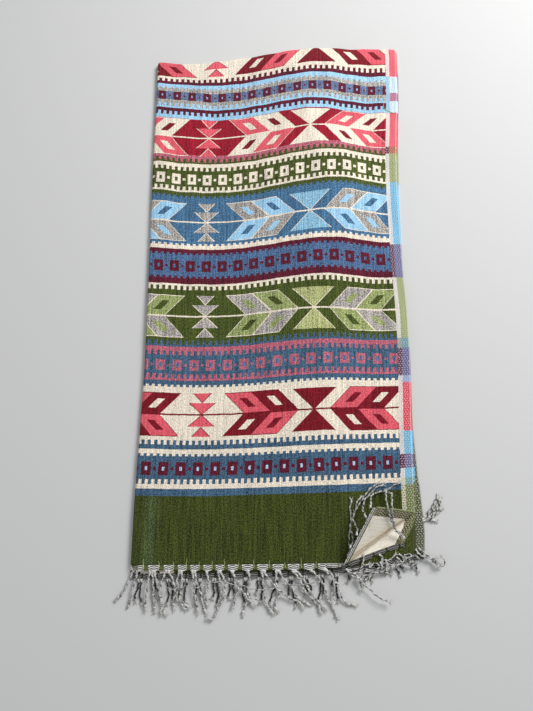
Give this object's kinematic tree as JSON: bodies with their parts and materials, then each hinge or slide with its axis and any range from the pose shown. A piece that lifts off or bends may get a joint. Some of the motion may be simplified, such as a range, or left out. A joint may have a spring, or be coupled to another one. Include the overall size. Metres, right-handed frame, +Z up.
{
  "type": "folded woven shawl",
  "caption": "Heavy patterned woven shawl folded in four layers, lying flat, with twined fringed ends and one corner turned back.",
  "frame": {"origin": "middle of the folded shawl's box, fringes included, on the surface it lies on", "axes": "+X from the long fold to the selvedges, +Y from the fringed ends to the crosswise fold, +Z up"},
  "size_m": [0.456, 0.9238, 0.0507],
  "materials": {
    "woven_face": "matt heavy weft-faced weave in blue, green, red, pink and cream bands",
    "woven_back": "matt plain weave, warm cream",
    "fringe_cord": "matt twisted cord, dark grey and white"
  },
  "bodies": {
    "root": {"front_panel": "woven_face", "under_layers": "woven_back", "fringe_front": "fringe_cord", "fringe_corner": "fringe_cord", "fringe_inner": "fringe_cord", "fringe_under": "fringe_cord", "fringe_side": "fringe_cord"}
  },
  "joints": []
}
